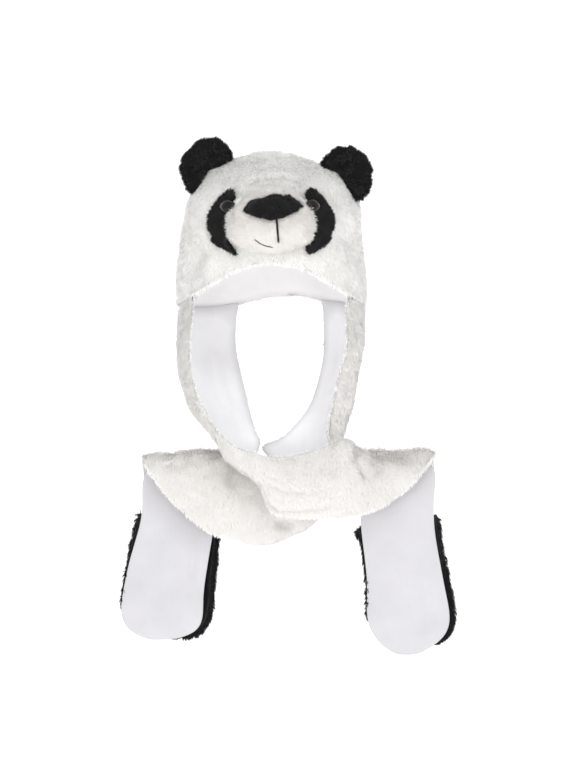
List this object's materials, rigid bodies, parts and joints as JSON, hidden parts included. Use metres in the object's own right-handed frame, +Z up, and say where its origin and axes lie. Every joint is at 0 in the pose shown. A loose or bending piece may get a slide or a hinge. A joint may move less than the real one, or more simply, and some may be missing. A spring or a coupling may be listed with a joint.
{
  "type": "panda hood hat with scarf mittens",
  "caption": "Plush panda-face hood, fleece lined, with round ears and a stuffed muzzle; its scarf arms cross under the chin, fold over and end in hand-pocket mittens.",
  "frame": {"origin": "inside of the crown at its highest point, where the top of the head meets the lining", "axes": "+Z up, the panda's face looks along -Y, +X to the viewer's right; the long way of the part is Z, from the ears to the mitten tips"},
  "size_m": [0.396, 0.2769, 0.6035],
  "materials": {
    "white_plush": "short dense warm-white plush pile, matted into small tufts",
    "black_plush": "short black plush pile, brownish where light grazes it",
    "fleece": "thin brushed cool-white fleece with a fine nap",
    "eye": "polished dark brown-black dome",
    "thread": "twisted black embroidery thread"
  },
  "bodies": {
    "root": {"hood_shell": "white_plush", "hood_lining": "fleece", "muzzle": "white_plush", "nose": "black_plush", "mouth_line": "thread", "eye_patch_left": "black_plush", "eye_patch_right": "black_plush", "eye_left": "eye", "eye_right": "eye", "ear_left": "black_plush", "ear_right": "black_plush", "arm_left": "white_plush", "arm_right": "white_plush", "arm_lining_left": "fleece", "arm_lining_right": "fleece", "mitten_palm_left": "fleece", "mitten_palm_right": "fleece", "mitten_back_left": "black_plush", "mitten_back_right": "black_plush"}
  },
  "joints": []
}
